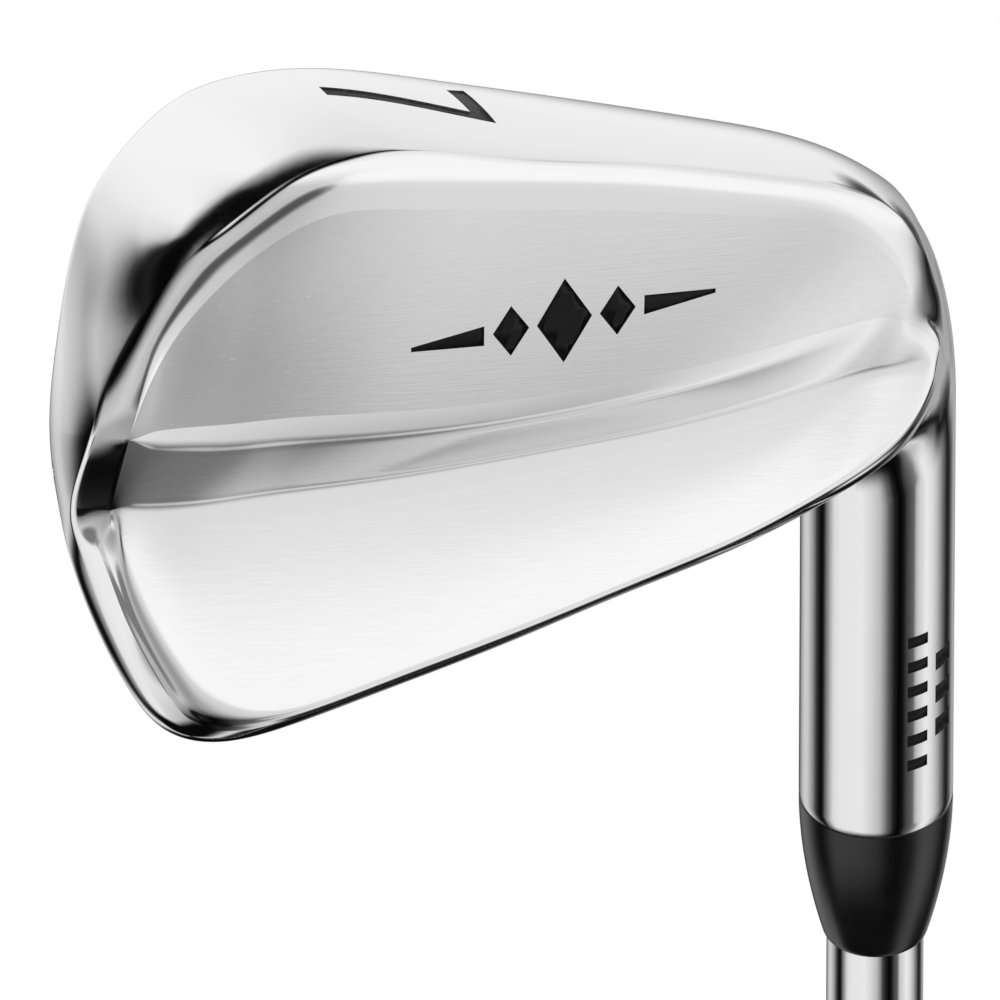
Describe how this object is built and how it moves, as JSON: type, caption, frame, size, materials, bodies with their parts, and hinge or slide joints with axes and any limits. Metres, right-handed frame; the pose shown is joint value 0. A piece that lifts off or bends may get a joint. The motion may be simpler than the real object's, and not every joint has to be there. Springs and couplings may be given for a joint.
{
  "type": "iron golf club",
  "caption": "Right-handed forged muscle-back iron with slim blade head, tapered ferrule, stepped steel shaft and tapered rubber grip, for striking a golf ball.",
  "frame": {"origin": "centre of the flat butt face of the grip, on the shaft axis", "axes": "+Z along the shaft axis from the butt to the head, +Y towards the target with the striking face looking that way, -X towards the toe"},
  "size_m": [0.0999, 0.0473, 0.9692],
  "materials": {
    "forged_chrome": "polished sole, edges and hosel, satin back panels",
    "ferrule_black": "gloss black",
    "shaft_chrome": "bright plated",
    "grip_rubber": "matt, moulded texture",
    "cap_rubber": "matt",
    "tape_paper": "matt crepe",
    "bond_resin": "cured resin",
    "weight_brass": "turned",
    "label_film": "plain film with grey rings",
    "mark_paint": "black paint fill"
  },
  "bodies": {
    "root": {"club_head": "forged_chrome", "ferrule": "ferrule_black", "shaft": "shaft_chrome", "grip": "grip_rubber", "grip_end_cap": "cap_rubber", "grip_tape": "tape_paper", "hosel_epoxy": "bond_resin", "tip_weight": "weight_brass", "shaft_label": "label_film", "sole_number_fill": "mark_paint", "muscle_mark_fill": "mark_paint", "hosel_mark_fill": "mark_paint"}
  },
  "joints": []
}
